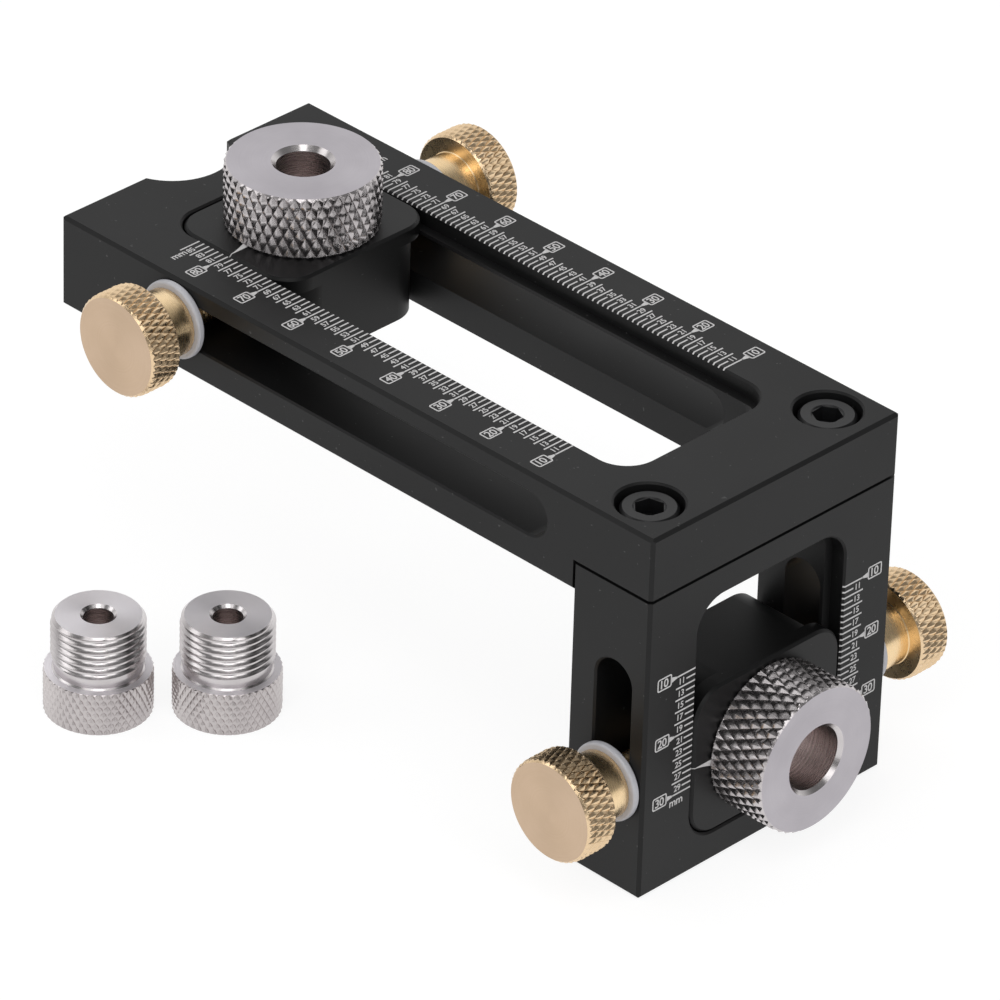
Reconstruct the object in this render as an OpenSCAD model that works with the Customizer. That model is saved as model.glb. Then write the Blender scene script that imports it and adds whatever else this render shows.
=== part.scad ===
// Drill guide: an arm and an end block screwed together at a right angle.
// Each carries a slider with a threaded drill bush, read on a millimetre
// scale and clamped by two thumb screws through the side slots.
// Origin: the corner where the arm's underside meets the end block's inner
// face, at mid-width, which is the zero of both scales. The arm runs to -X,
// the end block hangs to -Z, and the near side is -Y.

/* [Arm] */
// Length of the arm, with the part that laps over the end block
arm_len = 120; // [100:1:170]
// Width of the arm and of the end block
plate_w = 50; // [46:1:64]
// Thickness of the arm
arm_t = 15; // [13:0.5:20]
// Thickness of the arm where it laps over the end block
lap_t = 10; // [9:0.5:12]
// Length of the solid end of the arm behind its window
arm_end_wall = 12; // [9:0.5:20]
// Radius of the round notch in the far end of the arm
notch_r = 8.8; // [6:0.2:14]
// Depth of that notch
notch_depth = 5.6; // [2:0.2:7]
// Chamfer on the outer edges of the arm and the end block
edge_c = 0.5; // [0.2:0.1:1]

/* [End block] */
// Thickness of the end block
block_t = 15; // [13:0.5:20]
// Height of the end block below the arm's underside
block_drop = 45; // [40:1:70]
// Height of the end block's solid end under its window
block_end_wall = 5; // [4:0.5:10]
// Height of the groove round the joint, under the arm's lap
joint_h = 0.5; // [0.2:0.1:0.8]
// Depth of that groove
joint_d = 0.6; // [0.3:0.1:1]

/* [Windows] */
// Width of the windows at the outer face, where the scales lie
win_w = 30; // [28:0.5:34]
// Depth of the recess that takes the slider's flange
recess_d = 2.5; // [1.5:0.1:3]
// Width of the ledge on each long side of a recess
ledge_w = 1.5; // [1:0.1:2.5]
// Corner radius of the recess
win_corner_r = 5; // [3:0.2:7]
// Corner radius of the window below the ledge
low_corner_r = 4; // [2:0.2:6]
// Chamfer round the mouth of the recess
rim_c = 0.3; // [0.1:0.1:0.6]

/* [Side slots] */
// Distance from the outer face to the slots' centreline
slot_face = 6.5; // [6.3:0.1:8]
// Play of a thumb screw's stud in its slot, each side
stud_play = 0.9; // [0.3:0.1:1]
// Slot beyond the stud's foremost place, near side of the arm
near_slot_over = 3.4; // [0.5:0.1:5]
// Slot beyond the stud's foremost place, far side of the arm
far_slot_over = 0.9; // [0.5:0.1:5]
// Slot beyond the stud's last place, and at both ends in the end block
end_slot_over = 1.2; // [0.5:0.1:3]
// Chamfer round the slots' outer edges
slot_c = 0.3; // [0.1:0.1:0.5]

/* [Sliders] */
// Length of a slider along its window
slider_len = 24.6; // [20:0.2:30]
// Clearance on each side between a slider and its window
slide_gap = 0.2; // [0.1:0.05:0.3]
// Chamfer on the flange's outer edges
flange_c = 0.4; // [0.2:0.1:0.8]
// How far a slider stays back from the board's face
board_gap = 0.2; // [0.1:0.1:0.5]
// How much rounder the slider's body is than the corner of its window
body_ease = 1.5; // [0:0.1:2]
// Space between the arm's slider and the far end of its window
top_stand = 0.3; // [0.1:0.1:45]
// Space between the end block's slider and the lower end of its window
front_stand = 0.1; // [0.1:0.1:10]

/* [Drill bushes] */
// Diameter of the knurled head of the two fitted bushes
bush_head_d = 23.3; // [20:0.1:26]
// Height of that head
bush_head_h = 9.9; // [6:0.1:14]
// Bore of the bush in the arm's slider
top_bore_d = 8; // [3:0.5:11]
// Bore of the bush in the end block's slider
front_bore_d = 10; // [3:0.5:11]
// Chamfer at each end of those bores
bore_c = 0.7; // [0.2:0.1:0.8]
// Chamfer on the heads' edges
head_c = 0.25; // [0.1:0.05:0.8]
// How far a fitted bush ends inside its slider
shank_short = 0.2; // [0:0.1:3]
// Outer diameter of every bush's thread
thread_d = 14; // [13:0.1:15]
// Pitch of the bush thread
thread_pitch = 1.1; // [0.8:0.05:1.5]
// Depth of the bush thread
thread_depth = 0.55; // [0.3:0.05:0.6]
// Length of the plain undercut between thread and head
relief_len = 1.6; // [0.8:0.1:3]
// Clearance of the thread in the slider, on the radius
thread_gap = 0.05; // [0.03:0.01:0.1]

/* [Loose bushes] */
// Diameter of a loose bush's knurled head
spare_head_d = 16.2; // [16:0.1:22]
// Height of that head
spare_head_h = 6.9; // [4:0.1:10]
// Length of its threaded shank
spare_shank = 8.9; // [6:0.1:14]
// Its bore
spare_bore_d = 4.5; // [3:0.5:8]
// Chamfer at each end of that bore
spare_bore_c = 0.45; // [0.2:0.05:0.8]
// Place of the left loose bush, behind the end block's inner face
spare_back = 73.1; // [50:0.5:90]
// Place of the left loose bush, out from the near side
spare_out = 22; // [22:0.1:40]
// Space between the two loose bushes
spare_gap = 2.5; // [1:0.1:10]
// Direction from the left loose bush to the right one, in degrees
spare_turn = 47.3; // [-20:0.1:48]

/* [Thumb screws] */
// Diameter of the knurled head
thumb_head_d = 16; // [13:0.2:16]
// Thickness of that head
thumb_head_t = 5.6; // [4:0.1:8]
// Chamfer on the head's edges
thumb_c = 0.4; // [0.1:0.1:0.8]
// Diameter of the smooth collar
collar_d = 10.4; // [8:0.2:12]
// Length of the smooth collar
collar_len = 5.2; // [3:0.1:8]
// Diameter of the stud
stud_d = 5; // [4:0.1:5]
// Pitch of the stud's thread
stud_pitch = 0.8; // [0.7:0.05:1]
// Depth of the stud's thread
stud_thread_depth = 0.4; // [0.2:0.05:0.45]
// Clearance of the stud in the slider's thread, on the radius
stud_gap = 0.05; // [0.03:0.01:0.1]
// Distance from the tip of the stud to the bush
stud_tip_gap = 0.9; // [0.5:0.1:2]
// Diameter of the washer under the collar
washer_d = 12.1; // [11.5:0.1:13]
// Thickness of the washer
washer_t = 1.2; // [0.8:0.1:2]
// Chamfer on the washer's outer edges
washer_c = 0.3; // [0.1:0.05:0.35]
// Play of the washer on the stud, on the radius
washer_play = 0.1; // [0.05:0.05:0.3]

/* [Cap screws] */
// Distance from a screw's axis to the side of the arm
screw_edge = 7; // [6:0.1:7.4]
// Diameter of the screw's thread
cap_d = 5; // [4:0.1:5]
// Length of the screw under its head
cap_len = 12; // [10:0.5:13]
// Diameter of the screw's head
cap_head_d = 8.5; // [7:0.1:9]
// Height of the screw's head
cap_head_h = 5; // [4:0.1:5.5]
// Width of the hexagon socket across its flats
cap_key = 4; // [3:0.1:4.5]
// Depth of the hexagon socket
cap_key_depth = 2.5; // [1.5:0.1:3]
// Chamfer on the screw's head
cap_c = 0.4; // [0.1:0.1:0.6]
// How far the head lies below the arm's face
cap_sink = 0.7; // [0.1:0.1:1]
// Diameter of the counterbore round the head
cbore_d = 10; // [9.2:0.1:11]
// Chamfer round the mouth of the counterbore
cbore_c = 0.3; // [0.1:0.1:0.6]
// Chamfer round the mouth of the hexagon socket
cap_key_c = 0.2; // [0.1:0.1:0.6]
// Turn of the near screw's hexagon, in degrees
near_key_turn = 15; // [0:1:59]
// Turn of the far screw's hexagon, in degrees
far_key_turn = 33; // [0:1:59]
// Play of the screw in the arm's hole, on the radius
cap_play = 0.25; // [0.1:0.05:0.4]
// Clearance of the screw in the end block's thread, on the radius
cap_gap = 0.05; // [0.03:0.01:0.1]
// Empty thread past the tip of the screw
cap_runout = 1.5; // [0.5:0.1:2]

/* [Hidden] */

// Overrun of every cut
cut = 1;
// Crest of a thread ridge as shares of its pitch, start and end
crest_shares = [0.38, 0.62];

arm_win_len = arm_len - block_t - arm_end_wall;
block_win_len = block_drop - block_end_wall;
low_w = win_w - 2 * ledge_w;
slot_w = stud_d + 2 * stud_play;
half_w = plate_w / 2;
near = -1;
far = 1;
screw_y = half_w - screw_edge;
cap_seat = arm_t - cap_sink - cap_head_h;
thread_r = thread_d / 2;
stud_reach = half_w - thread_r - thread_gap - stud_tip_gap;
spare_step = spare_head_d + spare_gap;
// Readings of the two sliders on their scales
top_reading = arm_win_len - slider_len / 2 - top_stand;
front_reading = block_win_len - slider_len / 2 - front_stand;

$fn = 64;

// Places the arm's own frame on the end block: outer face to +X, zero at the top
module on_block() {
    rotate(a = 180, v = [1, 0, 1]) children();
}

// Axis of the thumb screw on one side of a plate, pointing outwards
module at_thumb(reading, t, side) {
    translate([-reading, side * half_w, t - slot_face])
        rotate([-90 * side, 0, 0])
            children();
}

// Place of a cap screw, at the top of its head
module at_screw(side) {
    translate([block_t / 2, side * screw_y, arm_t - cap_sink]) children();
}

// Rectangle with its corners cut at 45 degrees
function bevel_points(a, b, c) = [
    [-a + c, -b], [a - c, -b], [a, -b + c], [a, b - c],
    [a - c, b], [-a + c, b], [-a, b - c], [-a, -b + c]
];

// Block centred on the origin with all its edges chamfered
module bevel_block(l, w, h, c) {
    intersection() {
        linear_extrude(h, center = true)
            polygon(bevel_points(l / 2, w / 2, c));
        rotate([90, 0, 0])
            linear_extrude(w, center = true)
                polygon(bevel_points(l / 2, h / 2, c));
        rotate([90, 0, 90])
            linear_extrude(l, center = true)
                polygon(bevel_points(w / 2, h / 2, c));
    }
}

module rounded_outline(l, w, r) {
    square([l - 2 * r, w], center = true);
    square([l, w - 2 * r], center = true);
    for (x = [-1, 1], y = [-1, 1])
        translate([x * (l / 2 - r), y * (w / 2 - r)])
            circle(r);
}

module rounded_slab(l, w, r, h) {
    linear_extrude(h) rounded_outline(l, w, r);
}

// Rounded slab whose sides lean out by flare over its height
module flared_slab(l, w, r, h, flare) {
    rotate([90, 0, 90])
        linear_extrude(l - 2 * r, center = true)
            polygon([[-w / 2, 0], [w / 2, 0], [w / 2 + flare, h], [-w / 2 - flare, h]]);
    rotate([90, 0, 0])
        linear_extrude(w - 2 * r, center = true)
            polygon([[-l / 2, 0], [l / 2, 0], [l / 2 + flare, h], [-l / 2 - flare, h]]);
    for (x = [-1, 1], y = [-1, 1])
        translate([x * (l / 2 - r), y * (w / 2 - r), 0])
            cylinder(h = h, r1 = r, r2 = r + flare);
}

// Straight slot with round ends, along X, cut upwards along Z
module slot_bar(l, w, h) {
    linear_extrude(h) {
        square([l - w, w], center = true);
        for (x = [-1, 1])
            translate([x * (l - w) / 2, 0])
                circle(w / 2);
    }
}

// The same slot with sides that lean out at 45 degrees
module slot_flare(l, w, h) {
    rotate([90, 0, 90])
        linear_extrude(l - w, center = true)
            polygon([[-w / 2, 0], [w / 2, 0], [w / 2 + h, h], [-w / 2 - h, h]]);
    for (x = [-1, 1])
        translate([x * (l - w) / 2, 0, 0])
            cylinder(h = h, r1 = w / 2, r2 = w / 2 + h);
}

// Window for a slider, from the zero of the scale towards -X
module window_cut(l, t) {
    translate([-l / 2, 0, 0]) {
        translate([0, 0, -cut])
            rounded_slab(l, low_w, low_corner_r, t + 2 * cut);
        translate([0, 0, t - recess_d])
            rounded_slab(l, win_w, win_corner_r, recess_d + cut);
        translate([0, 0, t - rim_c])
            flared_slab(l, win_w, win_corner_r, rim_c + cut, rim_c + cut);
    }
}

// Slot for the studs on one side; its ends pass the studs' last places by the two overruns
module side_slot_cut(win_len, t, side, front_over, back_over) {
    front = -slider_len / 2 + slot_w / 2 + front_over;
    back = -win_len + slider_len / 2 - slot_w / 2 - back_over;
    translate([(front + back) / 2, side * half_w, t - slot_face])
        rotate([-90 * side, 0, 0]) {
            translate([0, 0, low_w / 2 - half_w - cut])
                slot_bar(front - back, slot_w, half_w - low_w / 2 + 2 * cut);
            translate([0, 0, -slot_c])
                slot_flare(front - back, slot_w, slot_c + cut);
        }
}

module rail_plate() {
    color("#2b2b2e")
        difference() {
            translate([block_t - arm_len / 2, 0, arm_t / 2])
                bevel_block(arm_len, plate_w, arm_t, edge_c);
            // Lap over the end block
            translate([0, -half_w - cut, -cut])
                cube([block_t + cut, plate_w + 2 * cut, arm_t - lap_t + cut]);
            window_cut(arm_win_len, arm_t);
            side_slot_cut(arm_win_len, arm_t, near, near_slot_over, end_slot_over);
            side_slot_cut(arm_win_len, arm_t, far, far_slot_over, end_slot_over);
            // Notch in the far end
            translate([block_t - arm_len - notch_r + notch_depth, 0, 0]) {
                translate([0, 0, -cut])
                    cylinder(h = arm_t + 2 * cut, r = notch_r);
                translate([0, 0, arm_t - edge_c])
                    cylinder(h = edge_c + cut, r1 = notch_r, r2 = notch_r + edge_c + cut);
                translate([0, 0, -cut])
                    cylinder(h = edge_c + cut, r1 = notch_r + edge_c + cut, r2 = notch_r);
            }
            for (side = [near, far])
                at_screw(side) {
                    translate([0, 0, -cap_head_h])
                        cylinder(h = cap_head_h + cap_sink + cut, d = cbore_d);
                    translate([0, 0, cap_sink - cbore_c])
                        cylinder(h = cbore_c + cut, r1 = cbore_d / 2, r2 = cbore_d / 2 + cbore_c + cut);
                    translate([0, 0, -arm_t])
                        cylinder(h = arm_t, r = cap_d / 2 + cap_play);
                }
        }
}

module end_block() {
    block_h = block_drop + arm_t - lap_t;
    color("#2b2b2e")
        difference() {
            translate([block_t / 2, 0, block_h / 2 - block_drop])
                bevel_block(block_t, plate_w, block_h, edge_c);
            // Groove round the joint
            translate([block_t / 2, 0, arm_t - lap_t - joint_h])
                linear_extrude(joint_h + cut)
                    difference() {
                        square([block_t + 2 * cut, plate_w + 2 * cut], center = true);
                        square([block_t - 2 * joint_d, plate_w - 2 * joint_d], center = true);
                    }
            on_block() {
                window_cut(block_win_len, block_t);
                for (side = [near, far])
                    side_slot_cut(block_win_len, block_t, side, end_slot_over, end_slot_over);
            }
            for (side = [near, far])
                translate([block_t / 2, side * screw_y, cap_seat - cap_len - cap_runout])
                    cylinder(h = cap_len + cap_runout, r = cap_d / 2 + cap_gap);
        }
}

// Outline of one side of a threaded rod, from z0 upwards, as [radius, z] points
function ridge_points(r, depth, pitch, z0, count) = [
    for (i = [0 : count - 1], k = [0 : 2])
        k < 2 ? [r, z0 + (i + crest_shares[k]) * pitch]
              : [r - depth, z0 + (i + 1) * pitch]
];

module cap_screw(side, key_turn) {
    count = floor(cap_len / stud_pitch);
    root = cap_d / 2 - stud_thread_depth;
    head_r = cap_head_d / 2;
    key_r = cap_key / 2 / cos(30);
    color("#1c1c1f")
        at_screw(side)
            difference() {
                translate([0, 0, -cap_head_h])
                    rotate_extrude()
                        polygon(concat(
                            [[0, -cap_len], [root, -cap_len]],
                            ridge_points(cap_d / 2, stud_thread_depth, stud_pitch, -cap_len, count),
                            [[root, 0], [head_r, 0], [head_r, cap_head_h - cap_c]],
                            [[head_r - cap_c, cap_head_h], [0, cap_head_h]]
                        ));
                translate([0, 0, -cap_key_depth])
                    rotate(key_turn)
                        cylinder(h = cap_key_depth + cut, r = key_r, $fn = 6);
                translate([0, 0, -cap_key_c])
                    cylinder(h = cap_key_c + cut, r1 = key_r - cap_key_c / 2,
                             r2 = key_r + cap_key_c / 2 + cut);
            }
}

// Slider at its reading, in the frame of a plate of thickness t
module slider(reading, t) {
    body_w = low_w - 2 * slide_gap;
    flange_w = win_w - 2 * slide_gap;
    body_r = low_corner_r + body_ease;
    hole_r = thread_r + thread_gap;
    color("#26262a")
        difference() {
            translate([-reading, 0, 0]) {
                translate([0, 0, board_gap])
                    rounded_slab(slider_len, body_w, body_r, t - recess_d - board_gap);
                translate([0, 0, t - recess_d])
                    rounded_slab(slider_len, flange_w, win_corner_r, recess_d - flange_c);
                translate([0, 0, t - flange_c])
                    flared_slab(slider_len, flange_w, win_corner_r, flange_c, -flange_c);
            }
            translate([-reading, 0, -cut])
                cylinder(h = t + 2 * cut, r = hole_r);
            for (side = [near, far])
                at_thumb(reading, t, side)
                    translate([0, 0, -half_w])
                        cylinder(h = half_w, r = stud_d / 2 + stud_gap);
        }
}

// Threaded bush on the axis Z: head above z = 0, shank below
module bush(head_d, head_h, shank, bore_d, chamfer) {
    head_r = head_d / 2;
    root = thread_r - thread_depth;
    count = floor((shank - relief_len) / thread_pitch);
    color("#c9c9c6")
        difference() {
            rotate_extrude()
                polygon(concat(
                    [[0, -shank], [root, -shank]],
                    ridge_points(thread_r, thread_depth, thread_pitch, -shank, count),
                    [[root, 0], [head_r - head_c, 0], [head_r, head_c]],
                    [[head_r, head_h - head_c], [head_r - head_c, head_h], [0, head_h]]
                ));
            translate([0, 0, -shank - cut])
                cylinder(h = shank + head_h + 2 * cut, d = bore_d);
            translate([0, 0, head_h - chamfer])
                cylinder(h = chamfer + cut, r1 = bore_d / 2, r2 = bore_d / 2 + chamfer + cut);
            translate([0, 0, -shank - cut])
                cylinder(h = chamfer + cut, r1 = bore_d / 2 + chamfer + cut, r2 = bore_d / 2);
        }
}

module fitted_bush(reading, t, bore_d) {
    translate([-reading, 0, t])
        bush(bush_head_d, bush_head_h, t - board_gap - shank_short, bore_d, bore_c);
}

module spare_bush(step) {
    place = step * spare_step;
    translate([
        -spare_back + place * cos(spare_turn),
        -half_w - spare_out + place * sin(spare_turn),
        spare_head_h - block_drop
    ])
        rotate([180, 0, 0])
            bush(spare_head_d, spare_head_h, spare_shank, spare_bore_d, spare_bore_c);
}

// Thumb screw with its stud through the slot into the slider
module thumb_screw(reading, t, side) {
    head_r = thumb_head_d / 2;
    collar_r = collar_d / 2;
    root = stud_d / 2 - stud_thread_depth;
    under = washer_t + collar_len;
    top = under + thumb_head_t;
    count = floor((stud_reach + washer_t) / stud_pitch);
    color("#b98f57")
        at_thumb(reading, t, side)
            rotate_extrude()
                polygon(concat(
                    [[0, -stud_reach], [root, -stud_reach]],
                    ridge_points(stud_d / 2, stud_thread_depth, stud_pitch, -stud_reach, count),
                    [[root, washer_t], [collar_r, washer_t], [collar_r, under]],
                    [[head_r - thumb_c, under], [head_r, under + thumb_c]],
                    [[head_r, top - thumb_c], [head_r - thumb_c, top], [0, top]]
                ));
}

module washer(reading, t, side) {
    hole_r = stud_d / 2 + washer_play;
    outer_r = washer_d / 2;
    color("#efefec")
        at_thumb(reading, t, side)
            rotate_extrude()
                polygon([
                    [hole_r, 0], [outer_r - washer_c, 0], [outer_r, washer_c],
                    [outer_r, washer_t - washer_c], [outer_r - washer_c, washer_t],
                    [hole_r, washer_t]
                ]);
}

rail_plate();
end_block();
cap_screw(near, near_key_turn);  // cap_screw_near
cap_screw(far, far_key_turn);  // cap_screw_far
slider(top_reading, arm_t);  // top_slider
fitted_bush(top_reading, arm_t, top_bore_d);  // top_bush
thumb_screw(top_reading, arm_t, near);  // top_knob_near
thumb_screw(top_reading, arm_t, far);  // top_knob_far
washer(top_reading, arm_t, near);  // top_washer_near
washer(top_reading, arm_t, far);  // top_washer_far
on_block() slider(front_reading, block_t);  // front_slider
on_block() fitted_bush(front_reading, block_t, front_bore_d);  // front_bush
on_block() thumb_screw(front_reading, block_t, far);  // front_knob_near
on_block() thumb_screw(front_reading, block_t, near);  // front_knob_far
on_block() washer(front_reading, block_t, far);  // front_washer_near
on_block() washer(front_reading, block_t, near);  // front_washer_far
spare_bush(0);  // spare_bush_left
spare_bush(1);  // spare_bush_right
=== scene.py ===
import math

import bmesh
import bpy
from mathutils import Matrix, Vector


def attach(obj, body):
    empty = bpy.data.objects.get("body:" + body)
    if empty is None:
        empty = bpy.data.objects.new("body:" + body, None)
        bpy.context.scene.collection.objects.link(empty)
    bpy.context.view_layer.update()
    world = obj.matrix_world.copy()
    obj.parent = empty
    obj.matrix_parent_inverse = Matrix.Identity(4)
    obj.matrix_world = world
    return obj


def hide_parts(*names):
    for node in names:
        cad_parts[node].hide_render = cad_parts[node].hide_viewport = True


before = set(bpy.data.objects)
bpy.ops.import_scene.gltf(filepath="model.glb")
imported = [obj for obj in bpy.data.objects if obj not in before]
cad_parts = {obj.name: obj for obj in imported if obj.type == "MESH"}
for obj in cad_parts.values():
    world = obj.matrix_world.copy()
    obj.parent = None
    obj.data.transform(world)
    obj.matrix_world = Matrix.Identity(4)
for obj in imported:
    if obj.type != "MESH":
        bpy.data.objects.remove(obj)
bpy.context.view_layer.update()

MM = 0.001
TAU = 2 * math.pi

# Sizes that repeat the CAD model's, in millimetres
TOP_AT = 80.4
FRONT_AT = 27.6
THICK = 15.0
HALF_WIDTH = 25.0
WINDOW_HALF = 15.0
SLOT_FACE = 6.5
FLOOR_Z = -45.0
WASHER_T = 1.2
LOOSE_HEAD_H = 6.9


# ---------------------------------------------------------------- node helpers

def new_material(name):
    mat = bpy.data.materials.new(name)
    mat.use_nodes = True
    nodes = mat.node_tree.nodes
    return mat, nodes, mat.node_tree.links, nodes["Principled BSDF"]


def node(nodes, kind, **values):
    made = nodes.new(kind)
    for key, value in values.items():
        setattr(made, key, value)
    return made


def noise(nodes, links, coords, scale, detail, rough=0.55, stretch=(1, 1, 1)):
    """Noise texture on object coordinates, in units of one metre."""
    mapping = node(nodes, "ShaderNodeMapping")
    mapping.inputs["Scale"].default_value = stretch
    links.new(coords.outputs["Object"], mapping.inputs["Vector"])
    tex = node(nodes, "ShaderNodeTexNoise")
    tex.inputs["Scale"].default_value = scale
    tex.inputs["Detail"].default_value = detail
    tex.inputs["Roughness"].default_value = rough
    links.new(mapping.outputs["Vector"], tex.inputs["Vector"])
    return tex.outputs["Fac"]


def ramp(nodes, links, fac, dark, light, start=0.3, end=0.7):
    """Colour that goes from dark to light while fac goes from start to end."""
    made = node(nodes, "ShaderNodeValToRGB")
    stops = ((start, dark), (end, light))
    for element, (at, colour) in zip(made.color_ramp.elements, stops):
        element.position = at
        element.color = (*colour, 1)
    links.new(fac, made.inputs["Fac"])
    return made.outputs["Color"]


def spread(nodes, links, fac, low, high):
    """Maps 0..1 onto low..high."""
    made = node(nodes, "ShaderNodeMapRange")
    made.inputs["To Min"].default_value = low
    made.inputs["To Max"].default_value = high
    links.new(fac, made.inputs["Value"])
    return made.outputs["Result"]


def bump(nodes, links, bsdf, height, strength, distance):
    made = node(nodes, "ShaderNodeBump")
    made.inputs["Strength"].default_value = strength
    made.inputs["Distance"].default_value = distance
    links.new(height, made.inputs["Height"])
    links.new(made.outputs["Normal"], bsdf.inputs["Normal"])


# ------------------------------------------------------------------- materials

DUST = (0.05, 0.05, 0.05, 1)


def anodised(name, colour, rough, ior, specks=True):
    """Blackened metal: matt faces, with a few pale dust specks unless specks is off."""
    mat, nodes, links, bsdf = new_material(name)
    coords = node(nodes, "ShaderNodeTexCoord")
    cloud = noise(nodes, links, coords, scale=60, detail=2)
    base = ramp(nodes, links, cloud, [c * 0.8 for c in colour], [c * 1.2 for c in colour])
    if specks:
        dust = noise(nodes, links, coords, scale=1500, detail=1, rough=0.4)
        mask = ramp(nodes, links, dust, (0, 0, 0), (1, 1, 1), start=0.775, end=0.8)
        mix = node(nodes, "ShaderNodeMix", data_type="RGBA")
        links.new(mask, mix.inputs["Factor"])
        links.new(base, mix.inputs["A"])
        mix.inputs["B"].default_value = DUST
        base = mix.outputs["Result"]
    links.new(base, bsdf.inputs["Base Color"])
    grain = noise(nodes, links, coords, scale=4200, detail=2)
    links.new(spread(nodes, links, cloud, rough - 0.05, rough + 0.06), bsdf.inputs["Roughness"])
    bump(nodes, links, bsdf, grain, strength=0.15, distance=0.00003)
    bsdf.inputs["IOR"].default_value = ior
    return mat


def metal(name, dark, light, rough, grain_scale, grain_depth, stretch=(1, 1, 1)):
    """Metal whose colour varies a little. Its grain is finer along an axis that stretch raises."""
    mat, nodes, links, bsdf = new_material(name)
    coords = node(nodes, "ShaderNodeTexCoord")
    cloud = noise(nodes, links, coords, scale=90, detail=3)
    links.new(ramp(nodes, links, cloud, dark, light), bsdf.inputs["Base Color"])
    grain = noise(nodes, links, coords, grain_scale, detail=2, rough=0.5, stretch=stretch)
    links.new(spread(nodes, links, grain, rough - 0.07, rough + 0.09), bsdf.inputs["Roughness"])
    bump(nodes, links, bsdf, grain, strength=0.25, distance=grain_depth)
    bsdf.inputs["Metallic"].default_value = 1.0
    return mat


def turned(name, dark, light, rough, ring_pitch, depth, across=(1, 1, 0), streak=0.0):
    """Metal with circular tool marks round the object's own Z axis, told apart by the distance
    across: from the axis on a face, or along it in a bore."""
    mat, nodes, links, bsdf = new_material(name)
    coords = node(nodes, "ShaderNodeTexCoord")
    flat = node(nodes, "ShaderNodeVectorMath", operation="MULTIPLY")
    flat.inputs[1].default_value = across
    links.new(coords.outputs["Object"], flat.inputs[0])
    length = node(nodes, "ShaderNodeVectorMath", operation="LENGTH")
    links.new(flat.outputs["Vector"], length.inputs[0])
    rings = node(nodes, "ShaderNodeTexNoise", noise_dimensions="1D")
    rings.inputs["Scale"].default_value = 1 / ring_pitch
    rings.inputs["Detail"].default_value = 2
    links.new(length.outputs["Value"], rings.inputs["W"])
    cloud = noise(nodes, links, coords, scale=110, detail=3)
    links.new(ramp(nodes, links, cloud, dark, light), bsdf.inputs["Base Color"])
    links.new(spread(nodes, links, rings.outputs["Fac"], rough - 0.08, rough + 0.1),
              bsdf.inputs["Roughness"])
    bump(nodes, links, bsdf, rings.outputs["Fac"], strength=0.3, distance=depth)
    bsdf.inputs["Metallic"].default_value = 1.0
    if streak:
        # The marks spread a highlight across them, which draws pale sectors on a turned face
        bsdf.inputs["Anisotropic"].default_value = streak
        bsdf.inputs["Anisotropic Rotation"].default_value = 0.25
        tangent = node(nodes, "ShaderNodeTangent", direction_type="RADIAL", axis="Z")
        links.new(tangent.outputs["Tangent"], bsdf.inputs["Tangent"])
    return mat


def plain(name, colour, rough, speckle, scale):
    """Plastic or paint, a share of speckle darker in places."""
    mat, nodes, links, bsdf = new_material(name)
    coords = node(nodes, "ShaderNodeTexCoord")
    cloud = noise(nodes, links, coords, scale, detail=2)
    dark = [c * (1 - speckle) for c in colour]
    links.new(ramp(nodes, links, cloud, dark, colour), bsdf.inputs["Base Color"])
    links.new(spread(nodes, links, cloud, rough - 0.05, rough + 0.05), bsdf.inputs["Roughness"])
    bump(nodes, links, bsdf, cloud, strength=0.1, distance=0.00003)
    return mat


PLATE = anodised("black_anodised", (0.0045, 0.0045, 0.0047), rough=0.5, ior=1.365)
SLIDER = anodised("slider_anodised", (0.0035, 0.0035, 0.0037), rough=0.44, ior=1.34)
SCREW = anodised("black_oxide", (0.006, 0.006, 0.0065), rough=0.36, ior=1.4, specks=False)
STEEL_FACE = turned("bush_face", (0.45, 0.425, 0.455), (0.51, 0.485, 0.515), rough=0.4,
                    ring_pitch=0.00022, depth=0.00002, streak=0.4)
STEEL_KNURL = metal("bush_knurl", (0.5, 0.47, 0.475), (0.66, 0.625, 0.63), rough=0.25,
                    grain_scale=1500, grain_depth=0.00003)
# Painted light: the bore's steel is much lighter than the face steel of the same bush, which lifts
# the shade inside the bore
STEEL_BORE_PAINTED_LIGHT = turned("bush_bore_painted_light", (0.6, 0.54, 0.53), (0.8, 0.73, 0.72), rough=0.26,
                    ring_pitch=0.00035, depth=0.00004, across=(0, 0, 1))
STEEL_THREAD = metal("bush_thread", (0.5, 0.47, 0.47), (0.66, 0.63, 0.635), rough=0.22,
                     grain_scale=1200, grain_depth=0.00002)
# Painted reflection: the loose bushes' end faces get a nearly white steel, far lighter than the
# fitted bushes' faces, which stands in for a bright reflection on them
LOOSE_FACE_PAINTED_LIGHT = turned("loose_face_painted_light", (0.88, 0.85, 0.88), (0.97, 0.94, 0.97), rough=0.56,
                    ring_pitch=0.00022, depth=0.00002, streak=0.5)
LOOSE_KNURL = metal("loose_knurl", (0.47, 0.435, 0.435), (0.61, 0.57, 0.565), rough=0.22,
                    grain_scale=1500, grain_depth=0.00002)
BRASS_FACE = turned("brass_face", (0.58, 0.43, 0.3), (0.64, 0.48, 0.345), rough=0.4,
                    ring_pitch=0.00025, depth=0.00003, streak=0.5)
BRASS_KNURL = metal("brass_knurl", (0.72, 0.52, 0.31), (0.88, 0.67, 0.44), rough=0.25,
                    grain_scale=1500, grain_depth=0.00003)
BRASS_COLLAR = metal("brass_collar", (0.84, 0.61, 0.34), (0.96, 0.74, 0.46), rough=0.27,
                     grain_scale=900, grain_depth=0.00009, stretch=(1, 1, 7))
NYLON = plain("nylon", (0.5, 0.5, 0.53), rough=0.42, speckle=0.06, scale=900)
MARK = plain("scale_mark", (0.64, 0.63, 0.63), rough=0.6, speckle=0.12, scale=3000)


# ---------------------------------------------------------------- mesh helpers

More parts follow.
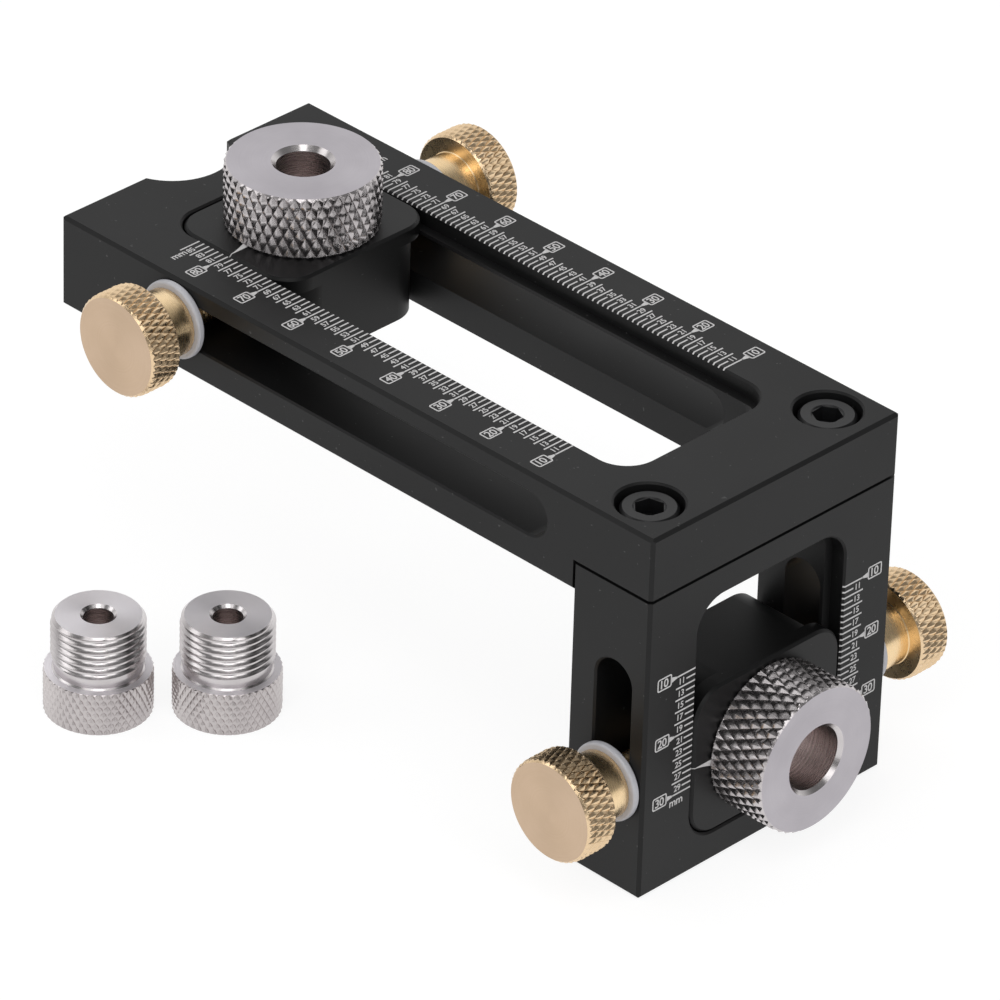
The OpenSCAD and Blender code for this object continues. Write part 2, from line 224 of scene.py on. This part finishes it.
def make_object(name, verts, faces, materials, indices=None, sharp=35.0, place=None):
    """Smooth mesh from points in millimetres, whose edges stay hard above sharp degrees."""
    mesh = bpy.data.meshes.new(name)
    mesh.from_pydata([[c * MM for c in v] for v in verts], [], faces)
    for mat in materials:
        mesh.materials.append(mat)
    if indices:
        for poly, index in zip(mesh.polygons, indices):
            poly.material_index = index
    bm = bmesh.new()
    bm.from_mesh(mesh)
    bmesh.ops.remove_doubles(bm, verts=bm.verts, dist=2e-7)
    bmesh.ops.dissolve_degenerate(bm, edges=bm.edges, dist=1e-7)
    bmesh.ops.recalc_face_normals(bm, faces=bm.faces)
    bm.to_mesh(mesh)
    bm.free()
    for poly in mesh.polygons:
        poly.use_smooth = True
    mesh.set_sharp_from_angle(angle=math.radians(sharp))
    made = bpy.data.objects.new(name, mesh)
    bpy.context.collection.objects.link(made)
    if place is not None:
        made.matrix_world = place
    return made


def add_rings(verts, faces, indices, rings, mat_ids, closed=False):
    """Joins rings that have as many points as each other. mat_ids is one index, or one a band."""
    base = len(verts)
    count = len(rings[0])
    for ring in rings:
        verts.extend(ring)
    bands = len(rings) if closed else len(rings) - 1
    for i in range(bands):
        a = base + i * count
        b = base + (i + 1) % len(rings) * count
        for k in range(count):
            m = (k + 1) % count
            faces.append((a + k, a + m, b + m, b + k))
            indices.append(mat_ids[i] if isinstance(mat_ids, list) else mat_ids)


def circle(r, z, count):
    return [(r * math.cos(TAU * k / count), r * math.sin(TAU * k / count), z)
            for k in range(count)]


def lathe(verts, faces, indices, profile, mat_ids, count):
    add_rings(verts, faces, indices, [circle(r, z, count) for r, z in profile], mat_ids)


def arc(cx, cz, r, a0, a1, steps):
    return [(cx + r * math.cos(math.radians(a0 + (a1 - a0) * i / steps)),
             cz + r * math.sin(math.radians(a0 + (a1 - a0) * i / steps)))
            for i in range(steps + 1)]


def fan(verts, faces, indices, coarse, fine, mat):
    """Joins a ring to one that has a whole multiple of its points."""
    a = len(verts)
    verts.extend(coarse)
    b = len(verts)
    verts.extend(fine)
    ratio = len(fine) // len(coarse)
    for k in range(len(coarse)):
        m = (k + 1) % len(coarse)
        edge = [b + (k * ratio + i) % len(fine) for i in range(ratio, -1, -1)]
        faces.append((a + k, a + m, *edge))
        indices.append(mat)


def cap(verts, faces, indices, ring, mat):
    """Closes a ring with triangles to its centre."""
    start = len(verts)
    verts.append((0, 0, ring[0][2]))
    verts.extend(ring)
    for k in range(len(ring)):
        faces.append((start, start + 1 + k, start + 1 + (k + 1) % len(ring)))
        indices.append(mat)


KNURL_SUB = 4           # grid steps from a diamond's tip to its corner
KNURL_TIP = 0.16        # flat part of that distance
KNURL_SHALLOW = 0.85    # slope of one family's sides beside the other's, which is deeper


def knurl(verts, faces, indices, r, z0, z1, around, half_rows, depth, rim, mat):
    """Diamond knurl on a cylinder: two families of crossing grooves leave four-sided pyramids.

    The grid has a vertex on every groove, crossing and tip. A chamfer of rim cuts both ends.
    Returns the first and the last ring, for the end faces to join.
    """
    cols = around * 2 * KNURL_SUB
    rows = half_rows * KNURL_SUB
    step = (z1 - z0) / rows

    def radius(a, b, z):
        u, v = a / KNURL_SUB, b / KNURL_SUB
        one = abs((u + v + 1) % 2 - 1)
        two = abs((u - v + 1) % 2 - 1)
        groove = max(0.0, max(one, two * KNURL_SHALLOW) - KNURL_TIP) / (1 - KNURL_TIP)
        edge = min(z - z0, z1 - z)
        return min(r - depth * groove, r - rim + edge)

    ends = (rim / 2 / step, rim / step)
    levels = sorted({*range(rows + 1), *ends, *(rows - end for end in ends)})
    rings = []
    for b in levels:
        z = z0 + step * b
        radii = [radius(a, b, z) for a in range(cols)]
        rings.append([(radii[a] * math.cos(TAU * a / cols), radii[a] * math.sin(TAU * a / cols), z)
                      for a in range(cols)])
    base = len(verts)
    for ring in rings:
        verts.extend(ring)
    for i in range(len(levels) - 1):
        cell = int((levels[i] + levels[i + 1]) / 2 // KNURL_SUB)
        for a in range(cols):
            a2 = (a + 1) % cols
            p, q = base + i * cols + a, base + i * cols + a2
            t, m = base + (i + 1) * cols + a2, base + (i + 1) * cols + a
            if (a // KNURL_SUB + cell) % 2 == 0:
                faces += [(p, q, m), (q, t, m)]
            else:
                faces += [(p, q, t), (p, t, m)]
            indices += [mat, mat]
    return rings[0], rings[-1]


THREAD_FLANK = 1.6      # how much faster the flanks fall than in a V, which leaves a flat root


def thread(verts, faces, indices, r, depth, pitch, z0, z1, count, mat, chamfer0, chamfer1, steps):
    """Right-handed helical thread from z0 to z1, closed to a plain ring at both ends."""
    root = r - depth
    turns = int(math.ceil((z1 - z0) / pitch)) + 2
    rows = turns * steps

    def point(k, j):
        z = z0 - pitch + (j / steps + k / count) * pitch
        share = abs(j % steps / steps * 2 - 1)
        rr = root + depth * max(0.0, 1 - THREAD_FLANK * share)
        z = min(max(z, z0), z1)
        rr = min(rr, r - chamfer0 + (z - z0), r - chamfer1 + (z1 - z))
        t = TAU * k / count
        return (rr * math.cos(t), rr * math.sin(t), z)

    base = len(verts)
    for j in range(rows + 1):
        for k in range(count + 1):
            verts.append(point(k, j))
    wide = count + 1
    for j in range(rows):
        for k in range(count):
            faces.append((base + j * wide + k, base + j * wide + k + 1,
                          base + (j + 1) * wide + k + 1, base + (j + 1) * wide + k))
            indices.append(mat)


def axis_matrix(origin, direction, turn=0.0):
    """Matrix that puts Z along direction and turns by turn degrees. origin is in millimetres."""
    z = Vector(direction).normalized()
    quat = z.to_track_quat("Z", "Y")
    return (Matrix.Translation(Vector(origin) * MM) @ quat.to_matrix().to_4x4()
            @ Matrix.Rotation(math.radians(turn), 4, "Z"))


# ---------------------------------------------------------------------- bushes

def make_bush(name, body, cad, place, mats, head_r, head_h, shank, bore_r, bore_c, half_rows,
              depth, rim, lead):
    """Drill bush. Z runs out of the slider: the knurled head lies above 0, the shank below.

    The bore has a chamfer of bore_c, the knurl half_rows, depth and rim, the shank's end lead.
    """
    verts, faces, indices = [], [], []
    face, knurled, bore, threaded = range(4)
    around = 43
    fine, coarse = around * 2 * KNURL_SUB, around * 2
    low, high = knurl(verts, faces, indices, head_r, 0.0, head_h, around, half_rows, depth, rim,
                      knurled)
    face_r = bore_r + bore_c
    add_rings(verts, faces, indices, [high, circle(face_r, head_h, fine)], face)
    lathe(verts, faces, indices,
          [(face_r, head_h), (bore_r, head_h - bore_c), (bore_r, bore_c - shank), (face_r, -shank)],
          [threaded, bore, threaded], fine)
    # Underside of the head, undercut, thread and the end of the shank
    thread_r, thread_depth, pitch, relief, neck_c = 7.0, 0.45, 1.1, 1.7, 0.25
    root = thread_r - thread_depth
    fan(verts, faces, indices, circle(root + neck_c, 0.0, coarse), low, face)
    lathe(verts, faces, indices, [(root + neck_c, 0.0), (root, -neck_c), (root, -relief)],
          threaded, coarse)
    thread(verts, faces, indices, thread_r, thread_depth, pitch, -shank, -relief, coarse, threaded,
           chamfer0=lead, chamfer1=thread_depth, steps=8)
    fan(verts, faces, indices, circle(thread_r - lead, -shank, coarse),
        circle(face_r, -shank, fine), face)
    made = make_object(name, verts, faces, mats, indices, 25.0, place)
    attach(made, body)
    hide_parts(cad)


# The bores of both kinds of bush use the steel lightened with painted light
FITTED = {"mats": [STEEL_FACE, STEEL_KNURL, STEEL_BORE_PAINTED_LIGHT, STEEL_THREAD], "head_r": 11.65,
          "head_h": 9.9, "shank": 14.6, "half_rows": 6, "depth": 0.46, "rim": 0.46, "lead": 0.55}
# The loose bushes' end faces take the steel with the painted reflection
LOOSE = {"mats": [LOOSE_FACE_PAINTED_LIGHT, LOOSE_KNURL, STEEL_BORE_PAINTED_LIGHT, STEEL_THREAD], "head_r": 8.1,
         "head_h": LOOSE_HEAD_H, "shank": 8.9, "half_rows": 7, "depth": 0.27, "rim": 0.18,
         "lead": 0.65}
make_bush("top_drill_bush", "top_bush_body", "top_bush",
          axis_matrix((-TOP_AT, 0, THICK), (0, 0, 1)), bore_r=4.0, bore_c=0.7, **FITTED)
make_bush("front_drill_bush", "front_bush_body", "front_bush",
          axis_matrix((THICK, 0, -FRONT_AT), (1, 0, 0)), bore_r=5.0, bore_c=0.6, **FITTED)

# The left loose bush's place, and the way from it to the right one
LOOSE_X, LOOSE_Y = -73.1, -47.0
LOOSE_STEP, LOOSE_TURN = 18.7, math.radians(47.3)
for k, side in enumerate(("left", "right")):
    away = k * LOOSE_STEP
    at = (LOOSE_X + away * math.cos(LOOSE_TURN), LOOSE_Y + away * math.sin(LOOSE_TURN),
          FLOOR_Z + LOOSE_HEAD_H)
    make_bush(f"loose_bush_{side}", f"spare_{side}_body", f"spare_bush_{side}",
              axis_matrix(at, (0, 0, -1)), bore_r=2.25, bore_c=0.45, **LOOSE)


# --------------------------------------------------------------- thumb screws

def make_thumb(name, body, cad, place):
    """Knurled head, collar and threaded stud. Z runs outwards from the side of the plate."""
    verts, faces, indices = [], [], []
    face, knurled, smooth = range(3)
    collar_r, collar_len, collar_round, neck_c = 5.2, 5.2, 0.35, 0.12
    head_r, head_h, half_rows, depth, rim, centre_r = 8.0, 5.6, 4, 0.33, 0.5, 0.6
    stud_r, stud_depth, stud_pitch, stud_c, reach = 2.5, 0.4, 0.8, 0.4, 17.05
    stud_root = 2.1
    under = WASHER_T + collar_len
    top = under + head_h
    around = 45
    fine, coarse = around * 2 * KNURL_SUB, around * 2
    low, high = knurl(verts, faces, indices, head_r, under, top, around, half_rows, depth, rim,
                      knurled)
    centre = circle(centre_r, top, fine)
    add_rings(verts, faces, indices, [high, centre], face)
    cap(verts, faces, indices, centre, face)
    fan(verts, faces, indices, circle(collar_r + neck_c, under, coarse), low, smooth)
    collar = ([(collar_r + neck_c, under), (collar_r, under - neck_c),
               (collar_r, WASHER_T + collar_round)]
              + arc(collar_r - collar_round, WASHER_T + collar_round, collar_round, 0, -90, 3)[1:])
    lathe(verts, faces, indices, collar, smooth, coarse)
    fan(verts, faces, indices, circle(stud_root, WASHER_T, around),
        circle(collar_r - collar_round, WASHER_T, coarse), smooth)
    thread(verts, faces, indices, stud_r, stud_depth, stud_pitch, -reach, WASHER_T, around, smooth,
           chamfer0=stud_c, chamfer1=stud_c, steps=6)
    cap(verts, faces, indices, circle(stud_root, -reach, around), smooth)
    made = make_object(name, verts, faces, [BRASS_FACE, BRASS_KNURL, BRASS_COLLAR], indices, 28.0,
                       place)
    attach(made, body)
    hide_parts(cad)


def make_washer(name, body, cad, place):
    """Nylon washer with a rounded rim and a chamfered hole."""
    verts, faces, indices = [], [], []
    r, hole, edge, hole_c, t = 6.05, 2.6, 0.42, 0.15, WASHER_T
    outline = ([(hole + hole_c, 0.0)] + arc(r - edge, edge, edge, -90, 0, 6)
               + arc(r - edge, t - edge, edge, 0, 90, 6)
               + [(hole + hole_c, t), (hole, t - hole_c), (hole, hole_c), (hole + hole_c, 0.0)])
    lathe(verts, faces, indices, outline, 0, 96)
    made = make_object(name, verts, faces, [NYLON], indices, 40.0, place)
    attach(made, body)
    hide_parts(cad)


for end, at, turns in (
        ("top", (-TOP_AT, THICK - SLOT_FACE), (12.0, 55.0)),
        ("front", (THICK - SLOT_FACE, -FRONT_AT), (31.0, 76.0))):
    for side, sign, turn in (("near", -1, turns[0]), ("far", 1, turns[1])):
        place = axis_matrix((at[0], sign * HALF_WIDTH, at[1]), (0, sign, 0), turn)
        make_thumb(f"{end}_thumb_{side}", f"{end}_knob_{side}_body", f"{end}_knob_{side}", place)
        make_washer(f"{end}_nylon_{side}", f"{end}_washer_{side}_body", f"{end}_washer_{side}",
                    place)


# ------------------------------------------------------------------ CAD nodes

def give(names, mat):
    for name in names:
        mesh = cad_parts[name].data
        mesh.materials.clear()
        mesh.materials.append(mat)


give(("rail_plate", "end_block"), PLATE)
give(("top_slider", "front_slider"), SLIDER)
give(("cap_screw_near", "cap_screw_far"), SCREW)


# -------------------------------------------------------------------- scales

MARK_LOW, MARK_HIGH = -0.015, 0.02      # marks reach from just under the face to just over it
TICK_W = 0.25
RIM = 0.3                               # chamfer round a window, which the ticks run down
TICK_FROM, TICK_LOW = 0.3, 0.03         # across from the window: tick on the face, on the chamfer
LONG_TICK, SHORT_TICK, TEN_TICK = 4.1, 2.05, 3.97
NUMBER_AT = 2.97
NUMBER_SIZE, TEN_SIZE, UNIT_SIZE = 1.42, 1.95, 1.85
LETTER_GAP, LETTER_BOLD = 0.94, 0.012   # letter spacing, and boldness as a share of the size
BOX_IN, BOX_OUT, BOX_HALF, BOX_R, BOX_LINE = 5.03, 7.9, 1.06, 0.38, 0.22
BOX_SHIFT = 0.1                         # the boxes lie a little past their tick
WEDGE_HALF = 0.45                       # half width of a ten's wedge where it meets the box
WEDGE_OVER_TICK, WEDGE_OVER_BOX = 0.1, 0.05


class Marks:
    """Flat marks on a face. A point is (across, along, height off the face), with across +Y."""

    def __init__(self):
        self.verts = []
        self.faces = []

    def prism(self, points):
        """Thin plate with the outline points, each (across, along, height)."""
        n = len(points)
        base = len(self.verts)
        self.verts += [(x, y, z + MARK_LOW) for x, y, z in points]
        self.verts += [(x, y, z + MARK_HIGH) for x, y, z in points]
        self.faces.append(tuple(base + n + i for i in range(n)))
        self.faces.append(tuple(base + i for i in reversed(range(n))))
        for i in range(n):
            k = (i + 1) % n
            self.faces.append((base + i, base + k, base + n + k, base + n + i))

    def rounded_box(self, x0, x1, y0, y1, r, w):
        """Outline of a rounded rectangle, drawn w wide."""
        rings = []
        for inset, z in ((0, MARK_LOW), (0, MARK_HIGH), (w, MARK_HIGH), (w, MARK_LOW)):
            ring = []
            corner = max(r - inset, 0.05)
            for cx, cy, a in ((x1 - inset - corner, y1 - inset - corner, 0),
                              (x0 + inset + corner, y1 - inset - corner, 90),
                              (x0 + inset + corner, y0 + inset + corner, 180),
                              (x1 - inset - corner, y0 + inset + corner, 270)):
                ring += [(x, y, z) for x, y in arc(cx, cy, corner, a, a + 90, 5)]
            rings.append(ring)
        add_rings(self.verts, self.faces, [], rings, 0, closed=True)

    def text(self, body, x, y, size, up):
        """Text centred on x, y, reading along across, its top towards up (+1 or -1) along."""
        data = bpy.data.curves.new("label", "FONT")
        data.body = body
        data.size = size
        data.align_x = "CENTER"
        data.space_character = LETTER_GAP
        data.offset = LETTER_BOLD * size
        data.resolution_u = 3
        data.extrude = 0.01
        label = bpy.data.objects.new("label", data)
        bpy.context.collection.objects.link(label)
        bpy.context.view_layer.update()
        mesh = bpy.data.meshes.new_from_object(label.evaluated_get(
            bpy.context.evaluated_depsgraph_get()))
        tall = [v.co.y for v in mesh.vertices]
        wide = [v.co.x for v in mesh.vertices]
        mid_y, mid_x = (min(tall) + max(tall)) / 2, (min(wide) + max(wide)) / 2
        base = len(self.verts)
        for v in mesh.vertices:
            z = MARK_HIGH if v.co.z > 0 else MARK_LOW
            self.verts.append((x + v.co.x - mid_x, y + (v.co.y - mid_y) * up, z))
        for poly in mesh.polygons:
            ring = [base + k for k in poly.vertices]
            self.faces.append(tuple(ring if up > 0 else reversed(ring)))
        bpy.data.objects.remove(label)
        bpy.data.curves.remove(data)
        bpy.data.meshes.remove(mesh)


def make_scale(name, side, first, last, up, to_face, unit_at):
    """One side's millimetre scale. side is -1 near, 1 far. The numbers' tops point towards up."""
    marks = Marks()

    def at(u, n, z=0.0):
        return (side * (WINDOW_HALF + u), -n, z)

    half = TICK_W / 2
    for n in range(first, last + 1):
        ten = n % 10 == 0
        reach = TEN_TICK if ten else (SHORT_TICK if n % 2 else LONG_TICK)
        marks.prism([at(TICK_FROM, n - half), at(reach, n - half), at(reach, n + half),
                     at(TICK_FROM, n + half)])
        marks.prism([at(TICK_LOW, n - half, TICK_LOW - RIM), at(TICK_FROM, n - half),
                     at(TICK_FROM, n + half), at(TICK_LOW, n + half, TICK_LOW - RIM)])
        if ten:
            low, high = n - BOX_SHIFT * up - BOX_HALF, n - BOX_SHIFT * up + BOX_HALF
            marks.prism([at(reach - WEDGE_OVER_TICK, n - half),
                         at(BOX_IN + WEDGE_OVER_BOX, n - WEDGE_HALF),
                         at(BOX_IN + WEDGE_OVER_BOX, n + WEDGE_HALF),
                         at(reach - WEDGE_OVER_TICK, n + half)])
            edges = sorted((at(BOX_IN, n)[0], at(BOX_OUT, n)[0]))
            marks.rounded_box(edges[0], edges[1], -high, -low, BOX_R, BOX_LINE)
            middle = at((BOX_IN + BOX_OUT) / 2, n)
            marks.text(str(n), middle[0], middle[1] + BOX_SHIFT * up, TEN_SIZE, up)
        elif n % 2:
            middle = at(NUMBER_AT, n)
            marks.text(str(n), middle[0], middle[1], NUMBER_SIZE, up)
    unit = at(*unit_at)
    marks.text("mm", unit[0], unit[1], UNIT_SIZE, up)
    made = make_object(name, *to_face(marks), [MARK])
    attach(made, "frame")


def on_top(marks):
    return [(along, across, THICK + z) for across, along, z in marks.verts], marks.faces


def on_front(marks):
    return [(THICK + z, across, along) for across, along, z in marks.verts], marks.faces


for side, word in ((-1, "near"), (1, "far")):
    make_scale(f"top_scale_{word}", side, 10, 86, -1, on_top, (5.2, 85))
    make_scale(f"front_scale_{word}", side, 10, 30, 1, on_front, (3.1, 31.35))


def make_pointer(name, body, to_face, at):
    """White mark on a slider's flange: widest under the bush, curving to a point at the near edge,
    and running down that edge's bevel."""
    marks = Marks()
    steps = 12
    bush_edge, flange_edge, bevel = 10.9, 14.8, 0.4
    straight, tip_w, root_w, curve, edge_gap = 0.25, 0.13, 1.0, 1.35, 0.02
    left, right = [], []
    for i in range(steps + 1):
        share = i / steps
        u = bush_edge + (flange_edge - bevel - bush_edge) * share
        w = tip_w + root_w * (1 - share) ** curve
        left.append((-u, at + straight, 0.0))
        right.append((-u, at + (straight - w), 0.0))
    for i in range(steps):
        marks.prism([left[i], left[i + 1], right[i + 1], right[i]])
    end, down = -flange_edge + edge_gap, edge_gap - bevel
    marks.prism([left[-1], (end, left[-1][1], down), (end, right[-1][1], down), right[-1]])
    made = make_object(name, *to_face(marks), [MARK])
    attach(made, body)


make_pointer("top_pointer", "top_carrier", on_top, -TOP_AT)
make_pointer("front_pointer", "front_carrier", on_front, -FRONT_AT)


# -------------------------------------------------------------- floor, lights

FLOOR_SIZE = 40         # in metres
FLOOR_GLOW = 1.17
FLOOR_GLOW_SHARE = 0.72
AWAY_FROM_CAMERA = (-0.7, 0.7, 0.0)
EVEN_LIGHT = 0.6


def make_floor():
    """Pale floor that keeps the object's shadow. Its glow lifts it to white for the camera and
    in mirrors only."""
    bpy.ops.mesh.primitive_plane_add(size=FLOOR_SIZE, location=(0, 0, FLOOR_Z * MM))
    floor = bpy.context.object
    floor.name = "floor"
    mat, nodes, links, bsdf = new_material("floor")
    bsdf.inputs["Base Color"].default_value = (0.8, 0.8, 0.8, 1)
    bsdf.inputs["Roughness"].default_value = 0.9
    glow = node(nodes, "ShaderNodeEmission")
    glow.inputs["Color"].default_value = (1, 1, 1, 1)
    glow.inputs["Strength"].default_value = FLOOR_GLOW
    path = node(nodes, "ShaderNodeLightPath")
    seen = node(nodes, "ShaderNodeMath", operation="ADD")
    links.new(path.outputs["Is Camera Ray"], seen.inputs[0])
    links.new(path.outputs["Is Glossy Ray"], seen.inputs[1])
    share = node(nodes, "ShaderNodeMath", operation="MULTIPLY")
    share.inputs[1].default_value = FLOOR_GLOW_SHARE
    links.new(seen.outputs["Value"], share.inputs[0])
    mix = node(nodes, "ShaderNodeMixShader")
    links.new(share.outputs["Value"], mix.inputs["Fac"])
    links.new(bsdf.outputs["BSDF"], mix.inputs[1])
    links.new(glow.outputs["Emission"], mix.inputs[2])
    links.new(mix.outputs["Shader"], nodes["Material Output"].inputs["Surface"])
    floor.data.materials.append(mat)


def make_world():
    """White for the camera. Mirrors see the white backdrop behind the object and a dimmer room
    in front of it, and everything else gets a plain even light."""
    world = bpy.data.worlds.new("studio")
    bpy.context.scene.world = world
    world.use_nodes = True
    nodes, links = world.node_tree.nodes, world.node_tree.links
    back = nodes["Background"]
    back.inputs["Color"].default_value = (1, 1, 1, 1)
    coords = node(nodes, "ShaderNodeTexCoord")
    behind = node(nodes, "ShaderNodeVectorMath", operation="DOT_PRODUCT")
    behind.inputs[1].default_value = AWAY_FROM_CAMERA
    links.new(coords.outputs["Generated"], behind.inputs[0])
    room = node(nodes, "ShaderNodeMapRange", interpolation_type="SMOOTHSTEP")
    for key, value in (("From Min", 0.05), ("From Max", 0.7), ("To Min", 0.2), ("To Max", 1.0)):
        room.inputs[key].default_value = value
    links.new(behind.outputs["Value"], room.inputs["Value"])
    path = node(nodes, "ShaderNodeLightPath")
    mirror = node(nodes, "ShaderNodeMix", data_type="FLOAT")
    mirror.inputs["A"].default_value = EVEN_LIGHT
    links.new(path.outputs["Is Glossy Ray"], mirror.inputs["Factor"])
    links.new(room.outputs["Result"], mirror.inputs["B"])
    white = node(nodes, "ShaderNodeMix", data_type="FLOAT")
    white.inputs["B"].default_value = 1.0
    links.new(path.outputs["Is Camera Ray"], white.inputs["Factor"])
    links.new(mirror.outputs["Result"], white.inputs["A"])
    links.new(white.outputs["Result"], back.inputs["Strength"])


LAMP_TARGET = (-0.03, 0.0, -0.01)       # in metres, about the middle of the guide


def make_lamp(name, place, size, power):
    data = bpy.data.lights.new(name, "AREA")
    data.shape = "RECTANGLE"
    data.size, data.size_y = size
    data.energy = power
    lamp = bpy.data.objects.new(name, data)
    bpy.context.collection.objects.link(lamp)
    lamp.location = Vector(place)
    aim = (Vector(LAMP_TARGET) - Vector(place)).normalized()
    lamp.rotation_euler = aim.to_track_quat("-Z", "Y").to_euler()


make_floor()
make_world()
make_lamp("right_box", (0.9, -0.24, 0.58), size=(0.43, 0.9), power=2.2)
make_lamp("left_box", (0.21, -0.91, 0.58), size=(0.43, 0.9), power=2.0)
make_lamp("top_box", (0.37, -0.43, 0.9), size=(0.36, 0.36), power=1.1)
make_lamp("side_box", (-0.68, -0.59, 0.66), size=(0.4, 0.6), power=1.2)


# --------------------------------------------------------------------- camera

# The photograph's viewpoint, found from the plates' corners and the scales' ticks
AZIMUTH, ELEVATION, ROLL = (math.radians(a) for a in (44.03, 32.20, 1.789))
CAMERA_AT = (0.6853, -0.7489, 0.6421)
FOCAL_PIXELS = 8525.2
PHOTO_PIXELS = 1000
SENSOR = 36


def make_camera():
    data = bpy.data.cameras.new("camera")
    data.sensor_width = SENSOR
    data.lens = FOCAL_PIXELS * SENSOR / PHOTO_PIXELS
    data.clip_start, data.clip_end = 0.05, 100
    cam = bpy.data.objects.new("camera", data)
    bpy.context.collection.objects.link(cam)
    back = Vector((math.sin(AZIMUTH) * math.cos(ELEVATION),
                   -math.cos(AZIMUTH) * math.cos(ELEVATION), math.sin(ELEVATION)))
    level = Vector((math.cos(AZIMUTH), math.sin(AZIMUTH), 0))
    up = back.cross(level)
    right = level * math.cos(ROLL) + up * math.sin(ROLL)
    up = back.cross(right)
    turn = Matrix((right, up, back)).transposed()
    cam.matrix_world = Matrix.Translation(CAMERA_AT) @ turn.to_4x4()
    bpy.context.scene.camera = cam


make_camera()
bpy.context.scene.view_settings.view_transform = "Standard"
